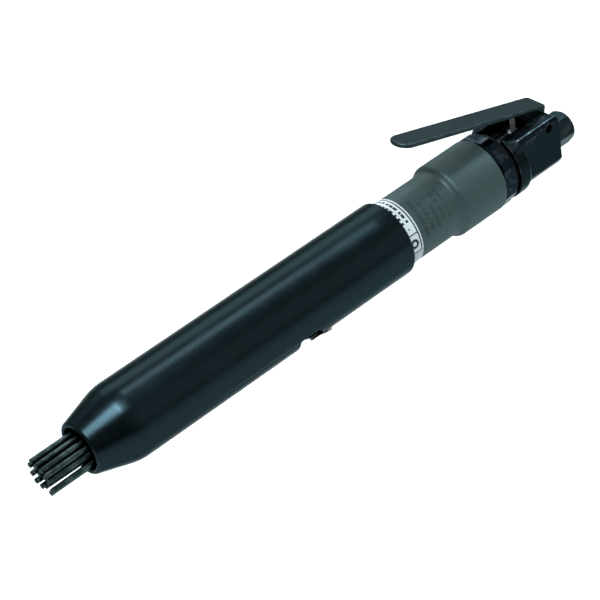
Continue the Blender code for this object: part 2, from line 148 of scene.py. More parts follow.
def pick(kind, test):
    """Selects only the vertices or faces whose place and normal pass the test."""
    obj = bpy.context.object
    bpy.ops.mesh.select_mode(type=kind)
    bpy.ops.mesh.select_all(action="DESELECT")
    bm = bmesh.from_edit_mesh(obj.data)
    if kind == "VERT":
        for v in bm.verts:
            v.select = test(obj.matrix_world @ v.co)
    else:
        for f in bm.faces:
            f.select = test(obj.matrix_world @ f.calc_center_median(), f.normal)
    bm.select_flush_mode()
    bmesh.update_edit_mesh(obj.data)


def settle(name, angle=32.0):
    """Leaves edit mode with the piece at the origin, smooth but for its hard edges."""
    if bpy.context.object.mode != "OBJECT":
        bpy.ops.object.mode_set(mode="OBJECT")
    obj = bpy.context.object
    obj.name = name
    bpy.ops.object.transform_apply(location=True, rotation=True, scale=True)
    bpy.ops.object.shade_smooth_by_angle(angle=math.radians(angle))
    return obj


def round_end(u, radius):
    """Half a circle round the end of an outline, from its low side to its high side."""
    turns = [math.radians(-90 + 180 * k / 32) for k in range(33)]
    return [(u + radius * math.cos(a), radius * math.sin(a)) for a in turns]


def activate(obj):
    clear()
    obj.select_set(True)
    bpy.context.view_layer.objects.active = obj


def trace(points, corners, closed):
    """Extrudes one vertex from point to point, then rounds the corners asked for."""
    clear()
    bpy.ops.mesh.primitive_plane_add(size=MM, location=points[0])
    bpy.ops.object.mode_set(mode="EDIT")
    bpy.ops.mesh.select_mode(type="VERT")
    bpy.ops.mesh.merge(type="CENTER")
    for a, b in zip(points, points[1:]):
        bpy.ops.mesh.extrude_region_move(TRANSFORM_OT_translate={"value": b - a})
    if closed:
        pick("VERT", lambda p: near(p, points[0]) or near(p, points[-1]))
        bpy.ops.mesh.edge_face_add()
    for reach in sorted(set(corners.values())):
        sharp = [points[i] for i, size in corners.items() if size == reach]
        pick("VERT", lambda p: any(near(p, q) for q in sharp))
        steps = 4 if reach < 2.6 * MM else 10
        bpy.ops.mesh.bevel(
            offset=reach, offset_type="OFFSET", segments=steps, affect="VERTICES"
        )
    bpy.ops.mesh.select_all(action="SELECT")


def turned(name, profile, steps=96, centre=AXIS, upright=False, closed=True):
    """Spins a profile of (place, radius, rounding) in mm about the tool or a standing axis."""
    points = []
    for p in profile:
        if upright:
            points.append(Vector((centre.x + p[1] * MM, centre.y, p[0] * MM)))
        else:
            points.append(Vector((p[0] * MM, centre.y, centre.z + p[1] * MM)))
    corners = {i: p[2] * MM for i, p in enumerate(profile) if len(p) > 2}
    trace(points, corners, closed)
    axis = (0, 0, 1) if upright else (1, 0, 0)
    bpy.ops.mesh.spin(steps=steps, angle=2 * math.pi, center=centre, axis=axis)
    bpy.ops.mesh.select_all(action="SELECT")
    bpy.ops.mesh.remove_doubles(threshold=1e-6)
    bpy.ops.mesh.normals_make_consistent(inside=False)
    return settle(name)


def drawn(name, outline, place, low, high):
    """Fills an outline of (u, v, rounding) in mm and pulls it from low to high."""
    points = [place(p[0], p[1], low) for p in outline]
    corners = {i: p[2] * MM for i, p in enumerate(outline) if len(p) > 2}
    trace(points, corners, True)
    bpy.ops.mesh.edge_face_add()
    pull = place(0, 0, high) - place(0, 0, low)
    bpy.ops.mesh.select_all(action="SELECT")
    bpy.ops.mesh.extrude_region_move(TRANSFORM_OT_translate={"value": pull})
    bpy.ops.mesh.select_all(action="SELECT")
    bpy.ops.mesh.normals_make_consistent(inside=False)
    return settle(name)


def rod(name, start, end, radius, sides=24):
    """A round bar between two points, with the rims of its ends rounded."""
    clear()
    line = end - start
    bpy.ops.mesh.primitive_cylinder_add(
        vertices=sides, radius=radius, depth=line.length, location=(start + end) / 2,
        rotation=line.to_track_quat("Z", "Y").to_euler(), end_fill_type="NGON",
    )
    bpy.ops.object.mode_set(mode="EDIT")
    ahead = line.normalized()
    world = bpy.context.object.matrix_world.to_3x3()
    pick("FACE", lambda p, n: abs((world @ n).dot(ahead)) > 0.9)
    bpy.ops.mesh.bevel(offset=radius * 0.22, segments=3, affect="EDGES")
    return settle(name)


def carve(obj, tool, how="DIFFERENCE"):
    activate(obj)
    mod = obj.modifiers.new("carve", "BOOLEAN")
    mod.operation = how
    mod.solver = "EXACT"
    mod.object = tool
    bpy.ops.object.modifier_apply(modifier=mod.name)
    bpy.data.objects.remove(tool)
    return obj


def soften(obj, width, steps=3, angle=30.0, clamp=True):
    """Breaks every sharp edge by width millimetres."""
    activate(obj)
    mod = obj.modifiers.new("soften", "BEVEL")
    mod.width = width * MM
    mod.segments = steps
    mod.limit_method = "ANGLE"
    mod.angle_limit = math.radians(angle)
    mod.use_clamp_overlap = clamp
    mod.miter_outer = "MITER_ARC"
    bpy.ops.object.modifier_apply(modifier=mod.name)
    return settle(obj.name)


def joined(name, pieces):
    activate(pieces[0])
    for piece in pieces[1:]:
        piece.select_set(True)
    bpy.ops.object.join()
    return settle(name)


def sideways(u, v, w):
    """Outline in the tool's upright plane, pulled along Y."""
    return Vector((u * MM, w * MM, AXIS.z + v * MM))


def endways(u, v, w):
    """Outline across the tool, pulled along X."""
    return Vector((w * MM, u * MM, AXIS.z + v * MM))


def latchways(x, out, across):
    """Along the tool, out from its axis at the latch, and round it."""
    c, s = math.cos(LATCH), math.sin(LATCH)
    y, z = out * c - across * s, out * s + across * c
    return Vector((x * MM, y * MM, AXIS.z + z * MM))


def worn_edges(obj):
    """Marks the rounded edges, where the finish rubs off first."""
    mark = obj.data.attributes.new("worn", "FLOAT", "POINT")
    bm = bmesh.new()
    bm.from_mesh(obj.data)
    values = []
    for v in bm.verts:
        bends = [0.0]
        for e in v.link_edges:
            if len(e.link_faces) == 2:
                small = min(f.calc_area() for f in e.link_faces) < 2.5e-6
                bends.append(math.degrees(e.calc_face_angle()) if small else 0.0)
        values.append(1.0 if 17.0 < max(bends) < 75.0 else 0.0)
    bm.free()
    mark.data.foreach_set("value", values)


# ---------------------------------------------------------------- finishes


def add(tree, kind, values=None, **settings):
    node = tree.nodes.new("ShaderNode" + kind)
    for name, value in settings.items():
        setattr(node, name, value)
    for key, value in (values or {}).items():
        if isinstance(value, bpy.types.NodeSocket):
            tree.links.new(value, node.inputs[key])
        else:
            node.inputs[key].default_value = value
    return node


def maths(tree, operation, a, b=0.0, c=0.0):
    return add(tree, "Math", {0: a, 1: b, 2: c}, operation=operation).outputs[0]


def group(name, inputs, outputs):
    tree = bpy.data.node_groups.new(name, "ShaderNodeTree")
    for label, kind, value in inputs:
        socket = tree.interface.new_socket(label, in_out="INPUT", socket_type=kind)
        socket.default_value = value
    for label, kind in outputs:
        tree.interface.new_socket(label, in_out="OUTPUT", socket_type=kind)
    return tree, tree.nodes.new("NodeGroupInput"), tree.nodes.new("NodeGroupOutput")


def use(tree, shared, **values):
    node = tree.nodes.new("ShaderNodeGroup")
    node.node_tree = shared
    for key, value in values.items():
        label = key.replace("_", " ")
        if isinstance(value, bpy.types.NodeSocket):
            tree.links.new(value, node.inputs[label])
        else:
            node.inputs[label].default_value = value
    return node


def make_machined():
    """Fine lathe lines round the tool, broad patches and small specks."""
    tree, inp, out = group(
        "machined",
        [("Lines per mm", "NodeSocketFloat", 2.0), ("Blotch size", "NodeSocketFloat", 40.0)],
        [(label, "NodeSocketFloat") for label in ("Lines", "Blotch", "Speck")],
    )
    coords = add(tree, "TexCoord").outputs["Object"]
    stretch = add(
        tree, "VectorMath", {0: coords, 1: (1000.0, 18.0, 18.0)}, operation="MULTIPLY"
    )
    lines = add(tree, "TexNoise", {"Vector": stretch.outputs[0], "Detail": 3.0, "Roughness": 0.6})
    tree.links.new(inp.outputs["Lines per mm"], lines.inputs["Scale"])
    blotch = add(tree, "TexNoise", {"Vector": coords, "Detail": 5.0, "Roughness": 0.62})
    tree.links.new(inp.outputs["Blotch size"], blotch.inputs["Scale"])
    speck = add(tree, "TexNoise", {"Vector": coords, "Scale": 2600.0, "Detail": 2.0})
    tree.links.new(lines.outputs["Fac"], out.inputs["Lines"])
    tree.links.new(blotch.outputs["Fac"], out.inputs["Blotch"])
    tree.links.new(speck.outputs["Fac"], out.inputs["Speck"])
    return tree


def make_rubbed():
    """Bright metal showing where handling has rubbed the rounded edges."""
    tree, inp, out = group(
        "rubbed", [("Amount", "NodeSocketFloat", 0.5)], [("Wear", "NodeSocketFloat")]
    )
    mark = add(tree, "Attribute", attribute_name="worn").outputs["Fac"]
    coords = add(tree, "TexCoord").outputs["Object"]
    patch = add(
        tree, "TexNoise", {"Vector": coords, "Scale": 160.0, "Detail": 6.0, "Roughness": 0.7}
    )
    spread = add(tree, "MapRange", {"Value": patch.outputs["Fac"], 1: 0.46, 2: 0.66})
    both = maths(tree, "MULTIPLY", mark, spread.outputs[0])
    full = maths(tree, "MULTIPLY", both, inp.outputs["Amount"])
    tree.links.new(full, out.inputs["Wear"])
    return tree


def make_between():
    """One where Value lies from Low to High, and nothing outside."""
    sockets = [(n, "NodeSocketFloat", 0.0) for n in ("Value", "Low", "High")]
    tree, inp, out = group("between", sockets, [("Mask", "NodeSocketFloat")])
    above = maths(tree, "GREATER_THAN", inp.outputs["Value"], inp.outputs["Low"])
    below = maths(tree, "LESS_THAN", inp.outputs["Value"], inp.outputs["High"])
    tree.links.new(maths(tree, "MULTIPLY", above, below), out.inputs["Mask"])
    return tree


def make_place():
    """Millimetres behind the front tube and degrees round the tool axis."""
    tree, _, out = group(
        "place_on_barrel", [], [("Behind", "NodeSocketFloat"), ("Turn", "NodeSocketFloat")]
    )
    split = add(tree, "SeparateXYZ", {0: add(tree, "TexCoord").outputs["Object"]})
    behind = maths(tree, "MULTIPLY_ADD", split.outputs["X"], -1000.0, TAIL)
    height = maths(tree, "SUBTRACT", split.outputs["Z"], AXIS.z)
    turn = maths(tree, "ARCTAN2", height, split.outputs["Y"])
    degrees = maths(tree, "MULTIPLY", turn, 180.0 / math.pi)
    tree.links.new(behind, out.inputs["Behind"])
    tree.links.new(degrees, out.inputs["Turn"])
    return tree


MACHINED = make_machined()
RUBBED = make_rubbed()
BETWEEN = make_between()
PLACE = make_place()


def span(tree, value, low, high):
    return use(tree, BETWEEN, Value=value, Low=low, High=high).outputs[0]


def blank(name):
    mat = bpy.data.materials.new(name)
    mat.use_nodes = True
    return mat, mat.node_tree, mat.node_tree.nodes["Principled BSDF"]


def blend(tree, amount, low, high):
    """One colour turning into another by an amount from 0 to 1."""
    return add(tree, "MixRGB", {0: amount, 1: low, 2: high}).outputs[0]


def lift(tree, height, strength, distance, shader):
    """Feeds a height to a shader as a bump of so many metres."""
    bump = add(tree, "Bump", {"Strength": strength, "Distance": distance, "Height": height})
    tree.links.new(bump.outputs[0], shader.inputs["Normal"])


def steel(
    name, colour, rough, metal, lines=2.0, relief=0.12, blotch=0.3,
    wear=0.5, bare=(0.2, 0.22, 0.22), edge_glow=0.55,
):
    """A metal finish with lathe lines, patches, specks and rubbed edges."""
    mat, tree, shader = blank(name)
    shader.inputs["Metallic"].default_value = metal
    shader.inputs["Specular Tint"].default_value = (edge_glow * 0.94, edge_glow, edge_glow, 1.0)
    work = use(tree, MACHINED, Lines_per_mm=lines)
    rub = use(tree, RUBBED, Amount=wear).outputs["Wear"]
    deep = tuple(c * (1.0 - blotch) for c in colour) + (1.0,)
    pale = tuple(c * (1.0 + blotch) for c in colour) + (1.0,)
    speck = work.outputs["Speck"]
    grit = add(tree, "MapRange", {"Value": speck, 1: 0.55, 2: 0.8, 3: 0.0, 4: 0.25})
    dusty = blend(tree, grit.outputs[0], blend(tree, work.outputs["Blotch"], deep, pale), pale)
    tree.links.new(blend(tree, rub, dusty, (*bare, 1.0)), shader.inputs["Base Color"])
    dull, shiny = rough * 1.14, rough * 0.88
    polish = add(
        tree, "MapRange", {"Value": work.outputs["Blotch"], 1: 0.3, 2: 0.7, 3: shiny, 4: dull}
    )
    tree.links.new(polish.outputs[0], shader.inputs["Roughness"])
    height = maths(tree, "MULTIPLY_ADD", speck, 0.35, work.outputs["Lines"])
    lift(tree, height, relief, 0.00006, shader)
    return mat


# Place behind the front tube, first and last degree, and greatest half height of each row.
STRUCK_ROWS = (
    (13.0, 5.0, 76.0, 1.5),
    (17.3, 6.0, 62.0, 1.4),
    (22.2, 7.0, 50.0, 1.4),
    (26.6, 9.0, 67.0, 1.2),
    (30.6, 11.0, 70.0, 0.9),
)


def struck_row(tree, behind, turn, middle, first, last, tall):
    """One row of plain strokes of uneven width and height, with gaps."""
    cell = maths(tree, "MULTIPLY", turn, 0.24 * 1.4 / tall)
    seed = add(tree, "CombineXYZ", {0: maths(tree, "FLOOR", cell), 1: middle})
    chance = add(tree, "TexWhiteNoise", {"Vector": seed.outputs[0]})
    parts = add(tree, "SeparateColor", {0: chance.outputs["Color"]})
    far_side = maths(tree, "MULTIPLY_ADD", parts.outputs["Red"], 0.45, 0.38)
    reach = maths(tree, "MULTIPLY_ADD", parts.outputs["Green"], tall * 0.5, tall * 0.55)
    wide = span(tree, maths(tree, "FRACT", cell), 0.14, far_side)
    height = maths(tree, "ABSOLUTE", maths(tree, "SUBTRACT", behind, middle))
    stroke = maths(tree, "MULTIPLY", wide, maths(tree, "LESS_THAN", height, reach))
    struck = maths(tree, "GREATER_THAN", parts.outputs["Blue"], 0.14)
    inside = maths(tree, "MULTIPLY", span(tree, turn, first, last), struck)
    return maths(tree, "MULTIPLY", stroke, inside)


def strike(mat):
    """Five rows of plain strokes struck into the barrel beside the label."""
    tree = mat.node_tree
    shader = tree.nodes["Principled BSDF"]
    spot = use(tree, PLACE)
    mark = 0.0
    for row in STRUCK_ROWS:
        line = struck_row(tree, spot.outputs["Behind"], spot.outputs["Turn"], *row)
        mark = maths(tree, "MAXIMUM", mark, line)
    base = shader.inputs["Base Color"].links[0].from_socket
    dark = blend(tree, maths(tree, "MULTIPLY", mark, 0.6), base, (0.008, 0.013, 0.013, 1.0))
    tree.links.new(dark, shader.inputs["Base Color"])
    surface = shader.inputs["Normal"].links[0].from_socket
    depth = maths(tree, "SUBTRACT", 1.0, mark)
    lift(tree, depth, 0.6, 0.00015, shader)
    sunk = shader.inputs["Normal"].links[0].from_node
    tree.links.new(surface, sunk.inputs["Normal"])


def label_film():
    """White film with a ruled border, dashes and a plain ring."""
    mat, tree, shader = blank("label_film")
    spot = use(tree, PLACE)
    behind, turn = spot.outputs["Behind"], spot.outputs["Turn"]

    def patch(first, last, low, high):
        """Ink from the first to the last degree, and from low to high behind the tube."""
        strip = span(tree, behind, low, high)
        return maths(tree, "MULTIPLY", strip, span(tree, turn, first, last))

    inks = [
        patch(-9.0, 170.0, 6.5, 7.35),
        patch(-9.0, -7.0, -9.0, 7.3),
        patch(23.2, 25.3, -9.0, 7.3),
        patch(33.0, 35.6, 2.2, 3.2),
    ]
    along = maths(tree, "SUBTRACT", behind, 2.7)
    around = maths(tree, "MULTIPLY", maths(tree, "SUBTRACT", turn, 8.0), 0.342)
    offset = add(tree, "CombineXYZ", {0: along, 1: around}).outputs[0]
    away = add(tree, "VectorMath", {0: offset}, operation="LENGTH")
    inks.append(span(tree, away.outputs["Value"], 1.3, 2.85))
    cell = maths(tree, "DIVIDE", turn, 9.0)
    for middle, first in ((4.4, 44.0), (1.3, 43.0)):
        seed = add(tree, "CombineXYZ", {0: maths(tree, "FLOOR", cell), 1: middle})
        chance = add(tree, "TexWhiteNoise", {"Vector": seed.outputs[0]})
        length = maths(tree, "MULTIPLY_ADD", chance.outputs["Value"], 0.5, 0.45)
        dash = maths(tree, "LESS_THAN", maths(tree, "FRACT", cell), length)
        row = patch(first, 150.0, middle - 0.8, middle + 0.8)
        inks.append(maths(tree, "MULTIPLY", row, dash))
    ink = inks[0]
    for other in inks[1:]:
        ink = maths(tree, "MAXIMUM", ink, other)
    work = use(tree, MACHINED, Blotch_size=60.0)
    film = blend(tree, work.outputs["Blotch"], (0.40, 0.46, 0.47, 1), (0.52, 0.59, 0.60, 1))
    # Painted shade: the film below -9 degrees round the axis, on the underside, is blended towards a dark
    # grey.
    below = maths(tree, "MULTIPLY", maths(tree, "LESS_THAN", turn, -9.0), 0.45)
    shaded = blend(tree, below, film, (0.12, 0.15, 0.16, 1))
    printed = blend(tree, ink, shaded, (0.006, 0.008, 0.01, 1))
    tree.links.new(printed, shader.inputs["Base Color"])
    shader.inputs["Roughness"].default_value = 0.42
    shader.inputs["Specular IOR Level"].default_value = 0.2
    lift(tree, work.outputs["Speck"], 0.1, 0.00003, shader)
    return mat


def rubber(name, colour):
    """Dull black rubber with a fine grain."""
    mat, tree, shader = blank(name)
    work = use(tree, MACHINED, Blotch_size=120.0)
    deep, pale = ((*[c * k for c in colour], 1) for k in (0.6, 1.4))
    tree.links.new(blend(tree, work.outputs["Blotch"], deep, pale), shader.inputs["Base Color"])
    shader.inputs["Roughness"].default_value = 0.6
    shader.inputs["Specular IOR Level"].default_value = 0.12
    lift(tree, work.outputs["Speck"], 0.2, 0.00005, shader)
    return mat


# Colour, roughness, metal, then lathe lines, relief, patches, wear and bare metal.
TUBE_BLACK = steel(
    "tube_black_oxide", (0.0100, 0.0180, 0.0215), 0.27, 1.0, 1.2, 0.05, 0.18, 0.35, (0.10, 0.13, 0.14)
)
HEAD_BLUE = steel(
    "head_blued", (0.0058, 0.0098, 0.0120), 0.30, 1.0, 1.5, 0.06, 0.2, 0.5, (0.10, 0.13, 0.16)
)
COLLAR_BLUE = steel(
    "collar_blued", (0.0070, 0.0125, 0.0175), 0.28, 1.0, 1.5, 0.06, 0.2, 0.5, (0.12, 0.15, 0.18)
)
LEVER_BLACK = steel(
    "lever_black", (0.0165, 0.0300, 0.0320), 0.42, 0.9, 0.4, 0.04, 0.16, 0.4, (0.10, 0.13, 0.14)
)
BARREL_GREY = steel(
    "barrel_grey", (0.050, 0.078, 0.079), 0.60, 0.75, 2.0, 0.10, 0.16, 0.35, (0.16, 0.2, 0.2)
)
strike(BARREL_GREY)
NEEDLE_STEEL = steel(
    "needle_steel", (0.020, 0.034, 0.034), 0.30, 1.0, 0.8, 0.08, 0.35, 0.5, (0.12, 0.16, 0.16)
)
BRIGHT = steel("bright_steel", (0.46, 0.50, 0.48), 0.26, 1.0, 2.5, 0.1, 0.12, 0.0, edge_glow=1.0)
PLUNGER = steel("plunger_steel", (0.74, 0.78, 0.74), 0.45, 0.5, 2.5, 0.1, 0.1, 0.0, edge_glow=1.0)
INNER = steel("inner_steel", (0.28, 0.30, 0.30), 0.34, 1.0, 2.5, 0.12, 0.15, 0.0, edge_glow=1.0)
WIRE = steel("spring_wire", (0.34, 0.36, 0.36), 0.3, 1.0, 1.0, 0.06, 0.2, 0.0, edge_glow=1.0)
PIN_DARK = steel("pin_dark", (0.012, 0.016, 0.018), 0.4, 0.9, 2.0, 0.08, 0.2, 0.0)
LATCH_BLACK = steel("latch_black", (0.006, 0.008, 0.009), 0.35, 0.8, 1.0, 0.06, 0.2, 0.5)
RUBBER = rubber("black_rubber", (0.0016, 0.0018, 0.0020))
LABEL = label_film()


def finish(obj, mat, slot, body, *nodes):
    """Gives a modelled piece its finish and puts it in the place of its solids."""
    activate(obj)
    mod = obj.modifiers.new("even_faces", "WEIGHTED_NORMAL")
    mod.keep_sharp = True
    bpy.ops.object.modifier_apply(modifier=mod.name)
    obj.data.materials.clear()
    obj.data.materials.append(mat)
    worn_edges(obj)
    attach(obj, body)
    if nodes:
        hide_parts(*nodes)


# ---------------------------------------------------------------- front tube and latch


def on_latch(u, v, w):
    """Outline in plan over the latch, pulled outwards."""
    return latchways(u, w, v)


def on_flat(u, v, w):
    """Outline in plan over the flat, which rises a little towards the nose."""
    return latchways(u, w + (u - 28.0) * FLAT_SLOPE, v)


def plan_block(name, rear, front, half, low, high):
    """A block over the latch, for cutting pockets."""
    corners = ((rear, -half), (front, -half), (front, half), (rear, half))
    return drawn(name, corners, on_latch, low, high)


def front_tube():
    tube = turned("front_tube_shell", (
        (NOSE, 13.1, 0.5),
        (NOSE, 15.0, 1.2),
        (NOSE - 24.4, TUBE_R, 4.4),
        (TAIL, TUBE_R, 1.6),
        (TAIL, 20.2, 0.3),
        (TAIL + 0.5, REAR_BORE),
        (NOSE - 153.35, REAR_BORE),
        (NOSE - 153.35, TUBE_BORE),
        (NOSE - 31.85, TUBE_BORE),
        (NOSE - 31.85, 14.6),
        (NOSE - 25.35, 12.5, 1.5),
        (NOSE - 0.7, 12.5, 0.3),
    ), 128)
    plan = [(33.9, -14.0), (33.9, 14.0), (FLAT_START, 14.0)]
    for k in range(17):
        a = math.radians(96 + 168 * k / 16)
        plan.append((FLAT_START + 12.5 * math.cos(a), 12.5 * math.sin(a)))
    plan.append((FLAT_START, -14.0))
    carve(tube, drawn("flat_cutter", plan, on_flat, LATCH_FLAT, 30.0))
    pocket = [(9.9, -3.7), (13.6, -3.7), (13.6, -1.8), (19.4, -1.8)]
    pocket += [(u, -v) for u, v in reversed(pocket)]
    carve(tube, drawn("pocket_cutter", pocket, on_latch, 20.4, 26.0))
    carve(tube, plan_block("window_cutter", 12.9, 19.4, 1.8, 14.0, 21.0))
    cradle = (latchways(*LATCH_PIN, side * 4.6) for side in (-1, 1))
    carve(tube, rod("cradle_cutter", *cradle, 0.95 * MM))
    activate(tube)
    bpy.ops.object.mode_set(mode="EDIT")
    bpy.ops.mesh.select_all(action="SELECT")
    bpy.ops.mesh.remove_doubles(threshold=2e-6)
    bpy.ops.mesh.fill_holes(sides=8)
    settle(tube.name)
    finish(tube, TUBE_BLACK, "black_oxide", "front_tube", "needle_tube")


def latch():
    x, out = LATCH_PIN
    turns = [math.radians(60 + 21 * k) for k in range(11)]
    outline = [(x + 1.25 * math.cos(a), out + 1.25 * math.sin(a)) for a in turns]
    outline += [(14.2, 20.55), (14.2, 17.25), (17.4, 17.25), (17.4, 20.3, 0.5)]
    outline += [(22.9, 20.3, 0.2), (22.9, 22.25, 0.5), (17.0, 22.25, 0.8), (14.6, 22.75, 0.6)]
    arm = drawn("latch_arm", outline, latchways, -1.5, 1.5)
    soften(arm, 0.14, 2)
    finish(arm, LATCH_BLACK, "blackened_latch", "latch", "tube_latch")
    pin = rod("latch_cross_pin", latchways(x, out, -4.3), latchways(x, out, 4.3), 0.8 * MM)
    finish(pin, BRIGHT, "bright_steel", "front_tube", "latch_pin")


# ---------------------------------------------------------------- needles


def centre_of(points):
    return sum(points, Vector()) / len(points)


def needle_bundle():
    """Each needle keeps the lean of its solid: a head and a shank with broken edges."""
    for number in range(1, 20):
        name = f"needle_{number:02d}"
        verts = [v.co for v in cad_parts[name].data.vertices]
        low, high = min(v.x for v in verts), max(v.x for v in verts)
        tip = centre_of([v for v in verts if v.x > high - 0.2 * MM])
        heel = centre_of([v for v in verts if v.x < low + 0.2 * MM])
        lean = (tip - heel) / (tip.x - heel.x)
        tip -= lean * 0.05 * MM
        neck = heel + lean * (NEEDLE_HEAD + 0.05) * MM
        shank = rod(f"needle_shank_{number:02d}", neck, tip, NEEDLE_R * MM, 20)
        collar_end = heel + lean * NEEDLE_HEAD * MM
        head = rod(f"needle_head_{number:02d}", heel, collar_end, NEEDLE_HEAD_R * MM, 20)
        whole = joined(f"struck_needle_{number:02d}", [shank, head])
        finish(whole, NEEDLE_STEEL, "needle_steel", "needle_pack", name)


# ---------------------------------------------------------------- barrel, label and collar


def barrel():
    shell = turned("barrel_shell", (
        (27.15, 13.8),
        (27.15, SPIGOT_R, 0.5),
        (18.6, SPIGOT_R),
        (18.6, 16.8),
        (0.9, 16.8),
        (0.9, SPIGOT_R),
        (-1.0, SPIGOT_R),
        (-1.0, BARREL_R, 0.5),
        (-28.2, BARREL_R),
        (-28.2, 18.1),
        (-31.6, 18.1),
        (-31.6, BARREL_R),
        (-88.6, BARREL_R, 1.34),
        (-91.2, BARREL_REAR_R, 1.34),
        (BARREL_REAR, BARREL_REAR_R, 0.5),
        (BARREL_REAR, 16.3),
        (-94.0, 16.3),
        (-94.0, BARREL_BORE),
        (22.0, BARREL_BORE),
        (22.0, 13.8),
    ), 128)
    finish(shell, BARREL_GREY, "grey_steel", "housing", "barrel")
    rear, front = ends_of("label_band")
    film = ((front, 19.53), (front, LABEL_R, 0.04), (rear, LABEL_R, 0.04), (rear, 19.53))
    finish(turned("label_ring", film, 128), LABEL, "label", "housing", "label_band")


def collar():
    rear, front = ends_of("lock_collar")
    nut = turned("collar_nut", (
        (front, 16.5),
        (front, 20.4),
        (front - 1.6, COLLAR_R, 0.15),
        (rear + 0.5, COLLAR_R, 0.1),
        (rear, 21.5),
        (rear, 16.5),
    ), 144)
    for k in range(8):
        face = Matrix.Rotation(math.radians(8.0 + 45.0 * k), 3, "X") @ Vector((0, 1, 0))
        place = AXIS + face * COLLAR_FLAT * MM
        activate(nut)
        bpy.ops.object.mode_set(mode="EDIT")
        bpy.ops.mesh.select_all(action="SELECT")
        bpy.ops.mesh.bisect(plane_co=place, plane_no=face, use_fill=True, clear_outer=True)
        bpy.ops.object.mode_set(mode="OBJECT")
    soften(nut, 0.16, 3, 12.0)
    finish(nut, COLLAR_BLUE, "blued_steel", "housing", "lock_collar")
    rear, front = ends_of("gasket_ring")
    ring = ((front, 16.5), (front, BARREL_R, 0.3), (rear, BARREL_R, 0.3), (rear, 16.5))
    finish(turned("gasket_band", ring), RUBBER, "rubber", "housing", "gasket_ring")


# ---------------------------------------------------------------- rear head


def head_shape(rear):
    """Both cheeks in one block with a turned front, on a round underside and a flange."""
    face, front = HEAD_FRONT - 0.5, HEAD_FRONT - 0.6
    cheeks = ((-HEAD_FAR, -7.0), (HEAD_NEAR, -7.0), (HEAD_NEAR, HEAD_TOP, 3.0), (-HEAD_FAR, HEAD_TOP, 5.0))
    body = drawn("head_body", cheeks, endways, rear, front)
    nose = ((face, 0.0), (face, 21.45), (-141.5, 27.0), (-180.0, 27.0), (-180.0, 0.0))
    carve(body, turned("turned_front", nose, 128, closed=False), "INTERSECT")
    under = ((front, 0.0), (front, 19.3), (rear, 19.3), (rear, 0.0))
    belly = turned("head_round", under, 128, closed=False)
    trim = ((-HEAD_FAR, -30.0), (HEAD_NEAR, -30.0), (HEAD_NEAR, 5.0), (-HEAD_FAR, 5.0))
    carve(belly, drawn("head_trim", trim, endways, rear - 5, 0.0), "INTERSECT")
    carve(body, belly, "UNION")
    flange = turned("head_flange", (
        (-112.4, 3.5),
        (-112.4, 15.9, 0.5),
        (-115.6, 15.9),
        (-115.6, 14.2),
        (-118.4, 14.2),
        (-118.4, 15.9),
        (-121.9, 15.9),
        (-121.9, 16.2),
        (HEAD_FRONT, 16.2),
        (HEAD_FRONT, HEAD_R, 0.6),
        (-143.15, HEAD_R, 2.2),
        (-143.15, 12.0),
        (-140.0, 3.5),
    ), 128)
    return carve(body, flange, "UNION")


def pivot_rod(name, half, radius):
    """A bar along the lever's cross pin."""
    ends = (Vector((PIVOT.x, side * half * MM, PIVOT.z)) for side in (-1, 1))
    return rod(name, *ends, radius * MM, 32)


def slot_block(name, front, low, high):
    """A block as wide as the slot, open to the rear."""
    corners = ((-200, low), (front, low), (front, high), (-200, high))
    return drawn(name, corners, sideways, -SLOT_HALF, SLOT_HALF)


def head():
    rear = ends_of("backhead")[0]
    body = head_shape(rear)
    valve = ((1.25, 0), (1.25, 6.5), (23.25, 6.5), (23.25, 3.5), (36.25, 3.5), (36.25, 0))
    valve_centre = Vector((-151.65 * MM, 0, 0))
    bore = ((-200, 0), (-200, 7.9), (-160.2, 7.9), (-160.2, 4.4), (-154, 4.4), (-154, 0))
    bore_centre = AXIS + Vector((0, 0, -INLET_DROP * MM))
    crown = ((rear, 10.0), (rear, HEAD_TOP, 3.0), (-150.0, HEAD_TOP))
    crown += ((-150.0, 30.0), (-180.0, 30.0), (-180.0, 10.0))
    plate = ((-180.0, -30.0), (-151.85, -30.0), (-151.85, 18.0, 4.0), (-180.0, 18.0))
    cuts = [
        slot_block("slot", HEAD_FRONT + 0.1, 13.0, 30.0),
        slot_block("ear_pocket", -157.2, 9.8, 15.0),
        turned("valve_bore", valve, 48, valve_centre, True, False),
        turned("inlet_bore", bore, 48, bore_centre, False, False),
        pivot_rod("pivot_hole", 30.0, 2.6),
        drawn("rear_corner", crown, sideways, -30.0, 30.0),
        drawn("left_flat", plate, sideways, 17.4, 30.0),
        drawn("right_flat", plate, sideways, -30.0, -16.1),
    ]
    for cut in cuts:
        carve(body, cut)
    soften(body, 0.3, 3, 30.0)
    finish(body, HEAD_BLUE, "blued_steel", "housing", "backhead")


